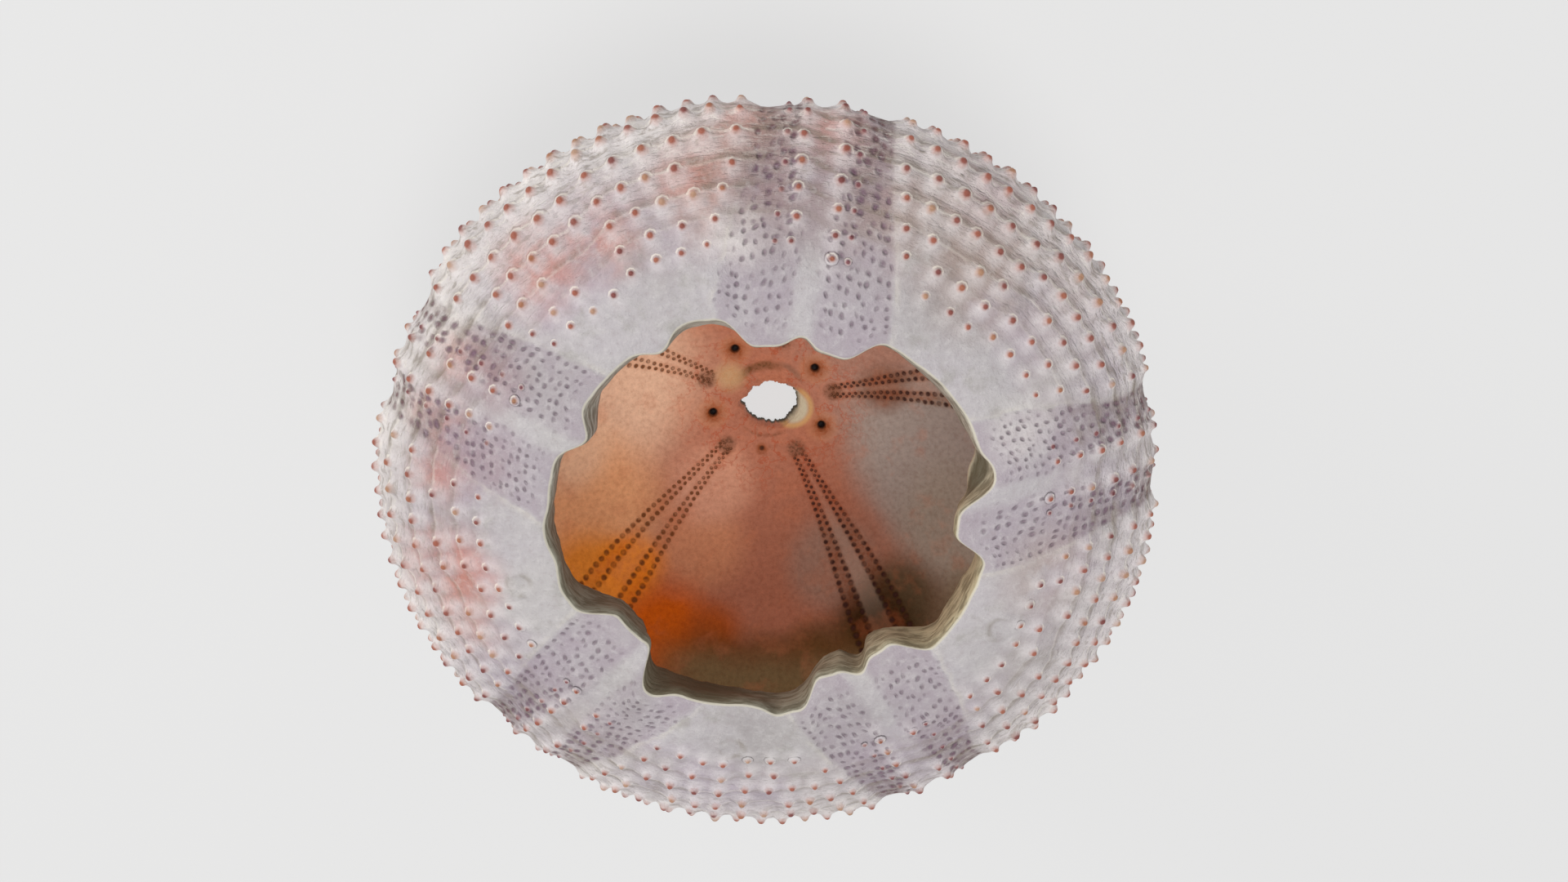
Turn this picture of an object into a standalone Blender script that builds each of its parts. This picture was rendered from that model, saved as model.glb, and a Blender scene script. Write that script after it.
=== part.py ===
"""The empty shell of a sea urchin, grown as one piece, lying on its crown with its mouth up.

The wall is one closed surface: it runs from the scalloped mouth lip down the knobbly outside
to the flat spot on the crown, in through the small vent hole, and back up the plain inside.
Lengths are in metres. Azimuths are in degrees from +X towards +Y, seen from the mouth.
"""

import math

import bmesh
import bpy

NAME = "urchin_shell"
MM = 0.001

# Overall shape: two half ovals that meet at the widest ring
RADIUS = 31.0 * MM
CROWN_DEPTH = 24.4 * MM
CROWN_FULLNESS = 1.9
MOUTH_RISE = 7.72 * MM
MOUTH_FULLNESS = 2.3
WALL = 1.8 * MM
CROWN_WALL = 1.62 * MM
FLAT_RADIUS = 4.6 * MM
VENT_LENGTH = 5.5 * MM
VENT_WIDTH = 5.0 * MM

# Mouth: a standing lip, cut in lobes
LIP_CREST_RADIUS = 17.9 * MM
# Inner face of the lip, from its foot up to its top: radius, height over the widest ring
LIP_PROFILE = ((16.8 * MM, 3.1 * MM), (16.7 * MM, 5.5 * MM), (17.05 * MM, 6.4 * MM))
# The lobes fade out down the outside
LOBE_SHARE_AT_CREST = 0.85
LOBE_FADE = 4.5 * MM
PLATEAU_WIDTH = 1.9
SPLIT_HALF_WIDTH = 5.0
# Each ambulacrum reaches into the mouth as a tongue: azimuth, half width, reach, split in its middle
TONGUES = (
    (1.0, 10.5, 2.4 * MM, 0.0),
    (79.0, 20.0, 2.3 * MM, 0.7 * MM),
    (148.0, 7.0, 1.4 * MM, 0.0),
    (214.0, 14.0, 2.6 * MM, 0.0),
    (297.5, 20.0, 2.9 * MM, 1.0 * MM),
)
# Gill cuts and chips that widen the mouth: azimuth, half width, depth
GILL_CUTS = (
    (15.0, 6.0, 0.7 * MM),
    (106.0, 5.0, 0.4 * MM),
    (177.0, 6.0, 0.4 * MM),
    (231.5, 5.0, 1.6 * MM),
    (269.0, 3.5, 0.5 * MM),
)
# Places where the lip bulges inwards a little: azimuth, half width, reach
LIP_SWELLS = ((116.0, 5.0, 0.9 * MM), (258.0, 11.0, 0.5 * MM))

# Plates: five ambulacra, with five interambulacra between them
SECTORS = 5
FIRST_AMBULACRUM = 7.8
AMBULACRUM_WIDTH = 10.0 * MM
AMBULACRUM_TAPER = 0.75
COLUMNS_IN_HALF = 7
COLUMN_PITCH = 2.1 * MM
PLATE_ROWS = 27
SMALLEST_PLATE = 1.6
PLATE_STAGGER = 0.25
STAGGER_WIDTH = 0.045

# Tubercles: one low peak on each plate cell
TUBERCLE_HEIGHT = 0.62 * MM
TUBERCLE_NEAR_MOUTH = 0.25
TUBERCLE_NEAR_CROWN = 0.45
LOW_ROWS_AT_MOUTH = 0.25
LOW_ROWS_AT_CROWN = 0.3
SMOOTH_ROWS_AT_MOUTH = 1
PORE_STRIP_HEIGHT = 0.3
CROWN_CLEARANCE = 0.05 * MM

# Inside surface, in rings and with half the columns
INSIDE_RINGS = 8
INSIDE_STEP = 2
INSIDE_FLOOR_RADIUS = 8.06 * MM
INSIDE_TURNS_BY_MOUTH = (0.28, 0.52)
VENT_FLARE = 1.15
WELD = 0.001 * MM

COLOUR = (0.70, 0.64, 0.68, 1.0)
ROUGHNESS = 0.75


def oval_height(radius, widest, half_height, fullness):
    """Height of a half oval over its widest ring at this radius."""
    share = min(max(radius / widest, 0.0), 1.0)
    return half_height * (1.0 - share**fullness) ** (1.0 / fullness)


WAIST = oval_height(FLAT_RADIUS, RADIUS, CROWN_DEPTH, CROWN_FULLNESS)


def oval_point(turn, widest, half_height, fullness):
    """Radius and height on a half oval; turn runs from 0 at the widest ring to 1 at the pole."""
    angle = turn * math.pi / 2.0
    radius = widest * max(math.cos(angle), 0.0) ** (2.0 / fullness)
    return radius, half_height * math.sin(angle) ** (2.0 / fullness)


def turn_at(radius, widest, fullness):
    """The turn at which a half oval has this radius."""
    return math.acos((radius / widest) ** (fullness / 2.0)) * 2.0 / math.pi


def outer_curve(samples=400):
    """Fine points down the outside, from the lip's crest to the rim of the flat spot."""
    crest = turn_at(LIP_CREST_RADIUS, RADIUS, MOUTH_FULLNESS)
    flat = turn_at(FLAT_RADIUS, RADIUS, CROWN_FULLNESS)
    points = []
    for step in range(samples):
        turn = crest * (1.0 - step / samples)
        radius, height = oval_point(turn, RADIUS, MOUTH_RISE, MOUTH_FULLNESS)
        points.append((radius, WAIST + height))
    for step in range(samples + 1):
        turn = flat * step / samples
        radius, height = oval_point(turn, RADIUS, CROWN_DEPTH, CROWN_FULLNESS)
        points.append((radius, WAIST - height))
    return points


CURVE = outer_curve()
TRAVEL = [0.0]
for previous, point in zip(CURVE, CURVE[1:]):
    TRAVEL.append(TRAVEL[-1] + math.dist(previous, point))


def outside_at(distance):
    """Radius and height at this distance down the outside from the lip's crest."""
    distance = min(max(distance, 0.0), TRAVEL[-1])
    index = next(i for i, reached in enumerate(TRAVEL) if reached >= distance)
    if index == 0:
        return CURVE[0]
    share = (distance - TRAVEL[index - 1]) / (TRAVEL[index] - TRAVEL[index - 1])
    low, high = CURVE[index - 1], CURVE[index]
    return tuple(a + share * (b - a) for a, b in zip(low, high))


def row_edges():
    """Distances of the edges between plate rows: plates are tallest round the widest ring."""
    heights = [
        SMALLEST_PLATE + math.sin(math.pi * (row + 0.5) / PLATE_ROWS)
        for row in range(PLATE_ROWS)
    ]
    scale = TRAVEL[-1] / sum(heights)
    edges = [0.0]
    for height in heights:
        edges.append(edges[-1] + height * scale)
    return edges


ROW_EDGES = row_edges()


def hump(azimuth, centre, half_width):
    """1 at the centre and 0 from half_width away, with soft shoulders."""
    away = abs((azimuth - centre + 180.0) % 360.0 - 180.0) / half_width
    return 0.5 + 0.5 * math.cos(math.pi * away) if away < 1.0 else 0.0


def plateau(azimuth, centre, half_width):
    """Like hump, with a broad flat top."""
    return min(1.0, PLATEAU_WIDTH * hump(azimuth, centre, half_width))


def lip_offset(azimuth):
    """How far the lip stands out from its mean radius here."""
    offset = 0.0
    for centre, half_width, reach, split in TONGUES:
        offset -= reach * plateau(azimuth, centre, half_width)
        offset += split * hump(azimuth, centre, SPLIT_HALF_WIDTH)
    for centre, half_width, depth in GILL_CUTS:
        offset += depth * hump(azimuth, centre, half_width)
    for centre, half_width, reach in LIP_SWELLS:
        offset -= reach * hump(azimuth, centre, half_width)
    return offset


def ambulacrum_share(radius, oral):
    """Part of a sector that the ambulacrum takes at this radius."""
    taper = 1.0 if oral else (radius / RADIUS) ** AMBULACRUM_TAPER
    return AMBULACRUM_WIDTH * taper * SECTORS / (2.0 * math.pi * radius)


def columns_at(radius, oral):
    """Tubercle columns in each half of an interambulacrum at this radius."""
    free = (1.0 - ambulacrum_share(radius, oral)) / 2.0
    half_width = free * 2.0 * math.pi * radius / SECTORS
    return min(max(round(half_width / COLUMN_PITCH), 1), COLUMNS_IN_HALF)


def column_places(radius, oral):
    """Places round a sector, from -0.5 to 0.5 with the ambulacrum in the middle.

    Columns past those that fit at this radius share the ambulacrum's border.
    """
    border = ambulacrum_share(radius, oral) / 2.0
    fit = columns_at(radius, oral)
    side = [
        0.5 - (0.5 - border) * min(column, fit) / fit
        for column in range(COLUMNS_IN_HALF + 1)
    ]
    side.append(border / 2.0)
    return [-place for place in side] + [0.0] + side[:0:-1]


SECTOR_COLUMNS = len(column_places(RADIUS, True))
COLUMNS = SECTORS * SECTOR_COLUMNS
PORE_COLUMNS = (COLUMNS_IN_HALF, SECTOR_COLUMNS - 1 - COLUMNS_IN_HALF)


def stagger(place):
    """Share of a plate by which a column is moved, so that neighbouring columns alternate."""
    from_seam = min(abs(place), 0.5 - abs(place)) / STAGGER_WIDTH
    return PLATE_STAGGER * math.copysign(min(from_seam, 1.0), place)


def azimuth_of(sector, place):
    return FIRST_AMBULACRUM + (sector + place) * 360.0 / SECTORS


def put(vert, azimuth, radius, height):
    angle = math.radians(azimuth)
    vert.co = (radius * math.cos(angle), radius * math.sin(angle), height)


def place_plate_ring(ring, edge):
    """Sets a ring of points on the outside, at the edge between two plate rows."""
    distance = ROW_EDGES[edge]
    radius, height = outside_at(distance)
    oral = height > WAIST
    places = column_places(radius, oral)
    inner_edge = 0 < edge < PLATE_ROWS
    for index, vert in enumerate(ring):
        sector, column = divmod(index, len(places))
        azimuth = azimuth_of(sector, places[column])
        here = distance
        if inner_edge:
            step = ROW_EDGES[edge + 1] - ROW_EDGES[edge - 1]
            here += stagger(places[column]) * step / 2.0
        radius, height = outside_at(here)
        lobes = LOBE_SHARE_AT_CREST * max(0.0, 1.0 - here / LOBE_FADE)
        put(vert, azimuth, radius + lobes * lip_offset(azimuth), height)


def place_lip_ring(ring, radius, height):
    """Sets a ring of points on the lobed inner face of the lip."""
    places = column_places(LIP_CREST_RADIUS, True)
    for index, vert in enumerate(ring):
        sector, column = divmod(index, len(places))
        azimuth = azimuth_of(sector, places[column])
        put(vert, azimuth, radius + lip_offset(azimuth), height)


def place_even_ring(ring, radius_at, height):
    """Sets a ring of evenly spread points, doubled up, whose radius follows the azimuth."""
    for index, vert in enumerate(ring):
        index -= index % INSIDE_STEP
        azimuth = azimuth_of(0, -0.5) + 360.0 * index / COLUMNS
        put(vert, azimuth, radius_at(azimuth), height)


def vent_radius(azimuth):
    """The vent is a slightly long oval."""
    angle = math.radians(azimuth)
    along = math.cos(angle) * 2.0 / VENT_LENGTH
    across = math.sin(angle) * 2.0 / VENT_WIDTH
    return 1.0 / math.hypot(along, across)


def next_ring(bm, ring):
    """Pulls a new ring out of the open edge of the wall."""
    edges = [bm.edges.get((a, b)) for a, b in zip(ring, ring[1:] + ring[:1])]
    partner = {}
    made = bmesh.ops.extrude_edge_only(bm, edges=edges)["geom"]
    fresh = {item for item in made if isinstance(item, bmesh.types.BMVert)}
    old = set(ring)
    for vert in fresh:
        for edge in vert.link_edges:
            other = edge.other_vert(vert)
            if other in old:
                partner[other] = vert
    return [partner[vert] for vert in ring]


def inside_profile():
    """Radius and height of the inside rings, from the vent up to the foot of the lip."""
    depth = CROWN_DEPTH - CROWN_WALL
    rise = MOUTH_RISE - WALL
    start = turn_at(INSIDE_FLOOR_RADIUS, RADIUS - WALL, CROWN_FULLNESS)
    points = []
    for ring in range(INSIDE_RINGS):
        turn = start * (1.0 - ring / (INSIDE_RINGS - 1.0))
        radius, height = oval_point(turn, RADIUS - WALL, depth, CROWN_FULLNESS)
        points.append((radius, WAIST - height))
    for turn in INSIDE_TURNS_BY_MOUTH:
        radius, height = oval_point(turn, RADIUS - WALL, rise, MOUTH_FULLNESS)
        points.append((radius, WAIST + height))
    return points


def tubercle_row_height(row):
    """Height of the peaks in a plate row; they are low by the mouth and by the crown."""
    share = (row + 0.5) / PLATE_ROWS
    from_mouth = min(1.0, share / LOW_ROWS_AT_MOUTH)
    from_crown = min(1.0, (1.0 - share) / LOW_ROWS_AT_CROWN)
    by_mouth = TUBERCLE_NEAR_MOUTH + (1.0 - TUBERCLE_NEAR_MOUTH) * from_mouth
    by_crown = TUBERCLE_NEAR_CROWN + (1.0 - TUBERCLE_NEAR_CROWN) * from_crown
    _, height = outside_at((ROW_EDGES[row] + ROW_EDGES[row + 1]) / 2.0)
    return min(TUBERCLE_HEIGHT * min(by_mouth, by_crown), max(height - CROWN_CLEARANCE, 0.0))


def raise_tubercles(bm, rows):
    """Gives each whole plate cell one peak, and the strips of fine pores a faint one."""
    for row, cells in enumerate(rows):
        if row < SMOOTH_ROWS_AT_MOUTH:
            continue
        for column_is_pored, share in ((False, 1.0), (True, PORE_STRIP_HEIGHT)):
            faces = [
                face
                for column, face in enumerate(cells)
                if face.is_valid
                and len(face.verts) == 4
                and (column % SECTOR_COLUMNS in PORE_COLUMNS) == column_is_pored
            ]
            bmesh.ops.poke(bm, faces=faces, offset=share * tubercle_row_height(row))


def cells_between(bm, ring, after):
    """The plate cells between two rings, in their order round the shell."""
    nexts = zip(ring, ring[1:] + ring[:1], after[1:] + after[:1], after)
    return [bm.faces.get(corners) for corners in nexts]


def shell_mesh():
    bm = bmesh.new()
    first = bmesh.ops.create_circle(bm, segments=COLUMNS, radius=RADIUS)["verts"]
    rings = [first]
    place_plate_ring(first, 0)
    rows = []
    for edge in range(1, PLATE_ROWS + 1):
        rings.append(next_ring(bm, rings[-1]))
        place_plate_ring(rings[-1], edge)
        rows.append(cells_between(bm, rings[-2], rings[-1]))

    rings.append(next_ring(bm, rings[-1]))
    place_even_ring(rings[-1], vent_radius, 0.0)
    rings.append(next_ring(bm, rings[-1]))
    place_even_ring(rings[-1], lambda azimuth: vent_radius(azimuth) * VENT_FLARE, CROWN_WALL)
    for radius, height in inside_profile():
        rings.append(next_ring(bm, rings[-1]))
        place_even_ring(rings[-1], lambda azimuth, radius=radius: radius, height)
    for radius, height in LIP_PROFILE:
        rings.append(next_ring(bm, rings[-1]))
        place_lip_ring(rings[-1], radius, WAIST + height)
    ends = [ring_edges(bm, rings[-1]), ring_edges(bm, rings[0])]
    bmesh.ops.bridge_loops(bm, edges=ends[0] + ends[1])

    bmesh.ops.remove_doubles(bm, verts=bm.verts, dist=WELD)
    bmesh.ops.recalc_face_normals(bm, faces=bm.faces)
    bm.normal_update()
    raise_tubercles(bm, rows)
    bmesh.ops.triangulate(bm, faces=bm.faces)
    bmesh.ops.recalc_face_normals(bm, faces=bm.faces)
    return bm


def ring_edges(bm, ring):
    return [bm.edges.get((a, b)) for a, b in zip(ring, ring[1:] + ring[:1])]


def shell_material():
    material = bpy.data.materials.new("shell_lilac_white")
    material.use_nodes = True
    shader = material.node_tree.nodes["Principled BSDF"]
    shader.inputs["Base Color"].default_value = COLOUR
    shader.inputs["Roughness"].default_value = ROUGHNESS
    shader.inputs["Metallic"].default_value = 0.0
    return material


def main():
    for old in list(bpy.data.objects):
        bpy.data.objects.remove(old, do_unlink=True)
    collection = bpy.data.collections.new("sea_urchin_shell")
    bpy.context.scene.collection.children.link(collection)
    mesh = bpy.data.meshes.new(NAME)
    bm = shell_mesh()
    bm.to_mesh(mesh)
    bm.free()
    mesh.materials.append(shell_material())
    collection.objects.link(bpy.data.objects.new(NAME, mesh))


main()
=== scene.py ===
"""Looks of the empty sea urchin shell: the grown wall with its lip and lining, and its tubercles.

Azimuths are in degrees from +X towards +Y. Travel is the distance down the outside from the
crest of the mouth lip. A place runs from -0.5 to 0.5 across a sector, with the ambulacrum's midline at 0.
"""

import math
import random

import bmesh
import bpy
import numpy as np
from mathutils import Matrix, Vector, noise


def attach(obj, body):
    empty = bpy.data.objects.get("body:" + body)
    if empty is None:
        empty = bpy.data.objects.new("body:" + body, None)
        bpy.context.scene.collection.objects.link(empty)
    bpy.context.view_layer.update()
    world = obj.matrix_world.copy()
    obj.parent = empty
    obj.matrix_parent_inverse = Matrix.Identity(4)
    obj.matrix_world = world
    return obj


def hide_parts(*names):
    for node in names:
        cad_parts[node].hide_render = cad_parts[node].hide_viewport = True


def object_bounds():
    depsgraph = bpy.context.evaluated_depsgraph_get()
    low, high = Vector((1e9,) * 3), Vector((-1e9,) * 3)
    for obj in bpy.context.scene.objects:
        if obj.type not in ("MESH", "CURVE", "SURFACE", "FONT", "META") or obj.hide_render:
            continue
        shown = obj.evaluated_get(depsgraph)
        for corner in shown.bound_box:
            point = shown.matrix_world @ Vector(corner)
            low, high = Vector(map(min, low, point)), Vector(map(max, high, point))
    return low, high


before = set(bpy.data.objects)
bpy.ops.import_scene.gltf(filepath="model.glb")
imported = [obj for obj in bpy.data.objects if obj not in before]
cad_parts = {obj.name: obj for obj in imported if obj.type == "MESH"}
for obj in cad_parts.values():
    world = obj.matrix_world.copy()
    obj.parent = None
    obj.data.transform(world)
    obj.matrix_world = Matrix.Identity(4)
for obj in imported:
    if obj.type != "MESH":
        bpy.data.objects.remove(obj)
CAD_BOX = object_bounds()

MM = 0.001

# Overall shape in mm, as in the CAD: two half ovals that meet at the widest ring
RADIUS = 31.0
CROWN_DEPTH = 24.4
CROWN_FULLNESS = 1.9
MOUTH_RISE = 7.72
MOUTH_FULLNESS = 2.3
WALL = 1.8
CROWN_WALL = 1.62
LINING_START_RADIUS = 3.15
LINING_TOP_TURN = 0.52
FLAT_RADIUS = 4.6
VENT_LENGTH = 5.1
VENT_WIDTH = 4.2
VENT_SHIFT = (0.17, -0.45)
# Edge of the vent: its large and small unevenness, with one seed at the floor and one at the lining
VENT_WANDER = (0.3, 0.1)
VENT_SEEDS = (3.0, 3.4)
VENT_TOP = 1.35
VENT_LIMIT = 3.05
# Pointed corner of the vent and the shelf inside it: azimuth, half width, reach
VENT_CORNER = (184.0, 14.0, 0.5)
VENT_SHELF = (-14.0, 70.0, 0.6)
# Groove beside the vent: azimuth, half width
VENT_GROOVE = (104.0, 40.0)
LIP_CREST_RADIUS = 17.9

# Profile of the lip: radius, height over the widest ring, and under the lip the share of the lobes
UNDER_LIP = ((20.0, 4.35, 0.25), (19.0, 4.0, 0.5), (18.1, 3.5, 0.8), (17.4, 3.1, 0.95))
LIP_PROFILE = (
    (16.95, 2.95), (16.76, 3.05), (16.68, 3.3), (16.66, 3.7), (16.66, 4.15), (16.68, 4.6),
    (16.72, 5.05), (16.76, 5.5), (16.82, 5.95), (16.9, 6.3), (17.0, 6.55),
)
RIM_PROFILE = ((17.14, 6.66), (17.35, 6.7), (17.62, 6.7))
LIP_FOOT = 2.95
LIP_RISE = 3.6
RIM_RISE = 4.0

# Mouth lobes: middle azimuth, half width, reach, and the split in the middle of a tongue
LOBE_SHARE_AT_CREST = 0.85
LOBE_FADE = 4.5
LIP_BASE_OFFSET = -0.3
SPLIT_HALF_WIDTH = 6.0
TONGUES = (
    (-0.3, 7.5, 2.5, 0.0),
    (79.3, 16.7, 2.4, 0.9),
    (147.8, 4.0, 1.5, 0.0),
    (215.2, 11.0, 2.6, 0.0),
    (297.4, 17.7, 2.8, 1.0),
)
CREST_SHIFT = 0.6
CREST_INWARD = 0.15
CREST_SHOULDER = 8.0
FOOT_SHOULDER = 16.0
# Small bays and bulges of the lip's crest, and of its foot: azimuth, half width, outward reach
LIP_BAYS = (
    (14.0, 8.0, 0.6),
    (107.0, 7.0, 0.35),
    (116.0, 7.0, -1.0),
    (178.0, 9.0, 0.35),
    (193.0, 7.0, 0.3),
    (233.0, 7.0, 1.1),
    (258.0, 15.0, -0.6),
    (269.0, 5.0, 0.4),
)
FOOT_BAYS = ((180.0, 50.0, 0.35), (3.0, 26.0, 0.8))
# The flap that the lip's foot keeps beside the first tongue: azimuth, half width, reach
FLAP = (12.0, 8.5, 1.3)
FLAP_HOLLOW = 1.0

# Plates
SECTORS = 5
FIRST_AMBULACRUM = 7.8
AMBULACRUM_WIDTH = 10.0
AMBULACRUM_TAPER = 0.75
COLUMNS_IN_HALF = 7
COLUMN_PITCH = 2.1
PLATE_ROWS = 27
SMALLEST_PLATE = 1.6
PLATE_STAGGER = 0.25
STAGGER_WIDTH = 0.045
STRIP_FLARE = 1.5

# Fine shape of the wall, in mm
WALL_COLUMNS = 480
SPIN_STEPS = 30
OUTSIDE_STEP = 0.45
INSIDE_STEP = 1.2
FINE_INSIDE_STEP = 0.3
FINE_INSIDE_END = 6.0
FLAT_RINGS = (4.6, 4.1, 3.6, 3.2)
VENT_RINGS = (0.0, 0.12, 0.4, 0.8, 1.15, VENT_TOP)
PLATES_SUNK = 0.5
MOUND_HEIGHT = 0.34
MOUND_WIDTH = 1.05
MOUND_POWER = 2.4
WHITE_WIDTH = 1.25
WHITE_SHIFT = 0.5
TERRACE_HEIGHT = 0.2
BORDER_STEP = 0.14
SWELL_HEIGHT = 0.22
GRAIN_HEIGHT = 0.09
SCAR_RIM = 0.2
SCAR_HOLLOW = 0.16
FLAT_CLEARANCE = 0.02
# Ring scars on the smooth collar: azimuth, travel, radius
RING_SCARS = ((-28.0, 2.2, 1.15), (258.0, 2.3, 1.1), (190.0, 1.9, 1.0))

# Tubercles: radius and height above the plate, in mm
TUBERCLE_PROFILE = ((1.06, -0.12), (0.86, -0.01), (0.64, 0.035), (0.44, 0.14), (0.31, 0.33), (0.17, 0.44))
TUBERCLE_TIP = 0.48
TUBERCLE_SEGMENTS = 9
LOW_ROWS_AT_MOUTH = 0.25
LOW_ROWS_AT_CROWN = 0.3
TUBERCLE_NEAR_MOUTH = 0.3
TUBERCLE_NEAR_CROWN = 0.45
FIRST_TUBERCLE_ROW = 2
PRIMARY_PLACE = 0.28
PRIMARY_SIZE = 0.88
SECONDARY_PLACE = 0.53
SECONDARY_SIZE = 0.5
SIZE_AT_BORDER = 0.65
SCATTER_DOWN = 0.07
SCATTER_ACROSS = 0.08
SIZE_RANGE = (0.86, 1.1)
# In the first rows some tubercles are worn away
WORN_ROWS = 6
WORN_SHARE = 0.12
SEED = 11

# The photograph's view
PICTURE_WIDTH = 1920
PICTURE_HEIGHT = 1080
VERTICAL_FIELD = 41.0
TILT = 22.1
ROLL = 2.6
DISTANCE = 95.1
CENTRE_PIXEL = (943.5, 608.9)

# Pores round the crown, inside: azimuth, distance from the axis
GONOPORES = ((118.4, 6.36), (35.0, 5.64), (331.5, 5.77), (188.7, 5.63))
FIFTH_GONOPORE = (259.2, 5.0)
# Depth and radius of the pits at these pores
GONOPORE_PIT = (0.55, 0.5)
FIFTH_PIT = (0.2, 0.35)
OCULAR_TIPS = ((75.8, 6.41), (7.5, 6.34), (296.1, 5.61), (224.1, 6.12), (155.8, 6.53))

# Light that comes through the thin wall, and the even light of the floor and the room
LINING_GLOW = 0.35
FLOOR_GLOW = 0.58
ROOM_LIGHT = 0.52


def half_oval(turn, widest, half_height, fullness):
    """Radius and height on a half oval; turn runs from 0 at the widest ring to 1 at the pole."""
    angle = np.asarray(turn) * math.pi / 2.0
    radius = widest * np.cos(angle) ** (2.0 / fullness)
    return radius, half_height * np.sin(angle) ** (2.0 / fullness)


def turn_at(radius, widest, fullness):
    """Turn at which a half oval has this radius."""
    return math.acos((radius / widest) ** (fullness / 2.0)) * 2.0 / math.pi


FLAT_TURN = turn_at(FLAT_RADIUS, RADIUS, CROWN_FULLNESS)
WAIST = float(half_oval(FLAT_TURN, RADIUS, CROWN_DEPTH, CROWN_FULLNESS)[1])


def arc_length(radius, height):
    """Distance along a line of points, from its first one."""
    steps = np.hypot(np.diff(radius), np.diff(height))
    return np.concatenate(([0.0], np.cumsum(steps)))


def outer_curve(samples=400):
    """Fine points down the outside, from the lip's crest to the rim of the flat spot."""
    crest = turn_at(LIP_CREST_RADIUS, RADIUS, MOUTH_FULLNESS)
    top = half_oval(np.linspace(crest, 0.0, samples, endpoint=False), RADIUS, MOUTH_RISE, MOUTH_FULLNESS)
    low = half_oval(np.linspace(0.0, FLAT_TURN, samples + 1), RADIUS, CROWN_DEPTH, CROWN_FULLNESS)
    radius = np.concatenate((top[0], low[0]))
    height = np.concatenate((WAIST + top[1], WAIST - low[1]))
    return radius, height, arc_length(radius, height)


CURVE_RADIUS, CURVE_HEIGHT, CURVE_TRAVEL = outer_curve()
TRAVEL_END = float(CURVE_TRAVEL[-1])


def outside_at(travel):
    """Radius and height at this distance down the outside."""
    radius = np.interp(travel, CURVE_TRAVEL, CURVE_RADIUS)
    return radius, np.interp(travel, CURVE_TRAVEL, CURVE_HEIGHT)


def outward_at(travel):
    """Outward normal of the outer curve: radial part, upward part."""
    step = 0.2
    before = outside_at(np.asarray(travel) - step)
    after = outside_at(np.asarray(travel) + step)
    along = after[0] - before[0], after[1] - before[1]
    length = np.hypot(*along)
    return -along[1] / length, along[0] / length


def row_edges():
    """Distances of the edges between plate rows: plates are tallest round the widest ring."""
    rows = np.arange(PLATE_ROWS)
    heights = SMALLEST_PLATE + np.sin(math.pi * (rows + 0.5) / PLATE_ROWS)
    return np.concatenate(([0.0], np.cumsum(heights))) * TRAVEL_END / heights.sum()


ROW_EDGES = row_edges()
ROW_HEIGHTS = np.diff(ROW_EDGES)
ROW_MIDDLES = (ROW_EDGES[1:] + ROW_EDGES[:-1]) / 2.0


def plate_row(travel):
    """Number of the plate row here, with its fraction."""
    return np.interp(travel, ROW_EDGES, np.arange(PLATE_ROWS + 1))


def plate_height(travel):
    return np.interp(travel, ROW_MIDDLES, ROW_HEIGHTS)


def staggered_row(travel, place):
    """Plate row, and how far across it, with neighbouring columns half a plate apart."""
    return plate_row(travel - stagger(place) * plate_height(travel))


# Rows of outer pores lie closer by the mouth
PORE_TRAVEL = np.linspace(0.0, TRAVEL_END, 400)
PORE_PITCH = np.minimum(0.6 + 0.035 * PORE_TRAVEL, 1.0)
PORE_ROWS = np.concatenate(([0.0], np.cumsum(np.diff(PORE_TRAVEL) / PORE_PITCH[1:])))


def soft_step(value, low, high):
    share = np.clip((np.asarray(value) - low) / (high - low), 0.0, 1.0)
    return share * share * (3.0 - 2.0 * share)


def degrees_from(azimuth, centre):
    """Signed distance round the shell, from -180 to 180 degrees."""
    return (azimuth - centre + 180.0) % 360.0 - 180.0


def hump(azimuth, centre, half_width, reach=1.0):
    """A hump of this reach at the centre, 0 from half_width away, with soft shoulders."""
    away = np.abs(degrees_from(azimuth, centre)) / half_width
    return reach * np.where(away < 1.0, 0.5 + 0.5 * np.cos(math.pi * np.minimum(away, 1.0)), 0.0)


def tongue(azimuth, centre, half_width, shoulder):
    """1 on a tongue of the lip and 0 beside it, with shoulders this wide."""
    away = np.abs(degrees_from(azimuth, centre))
    return 1.0 - soft_step(away, half_width - shoulder / 2.0, half_width + shoulder / 2.0)


def lip_offset(azimuth, shoulder, bays):
    """How far the lip stands out from its mean radius here."""
    offset = np.full_like(azimuth, LIP_BASE_OFFSET)
    for centre, half_width, reach, split in TONGUES:
        offset -= reach * tongue(azimuth, centre, half_width, shoulder)
        offset += hump(azimuth, centre, SPLIT_HALF_WIDTH, split)
    for centre, half_width, reach in LIP_BAYS:
        offset += hump(azimuth, centre, half_width, bays * reach)
    return offset


def wander(azimuth, waves, seed):
    """A closed wandering line round the shell, from about -1 to 1."""
    angle = np.radians(azimuth)
    values = [
        noise.fractal(Vector((math.cos(a) * waves, math.sin(a) * waves, seed)), 0.6, 2.0, 4)
        for a in angle.ravel()
    ]
    return np.array(values).reshape(np.shape(azimuth))


def half_strip(travel):
    """Half the width of an ambulacrum."""
    radius, height = outside_at(travel)
    taper = np.where(height > WAIST, 1.0, (radius / RADIUS) ** AMBULACRUM_TAPER)
    return AMBULACRUM_WIDTH * taper / 2.0


def pored_strip(travel):
    """Half the width of the pored strip, which flares towards the mouth."""
    return half_strip(travel) + STRIP_FLARE * (1.0 - soft_step(travel, 0.0, 12.0))


def sector_girth(travel):
    """Width of one of the five sectors, from border to border."""
    return outside_at(travel)[0] * 2.0 * math.pi / SECTORS


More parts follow.
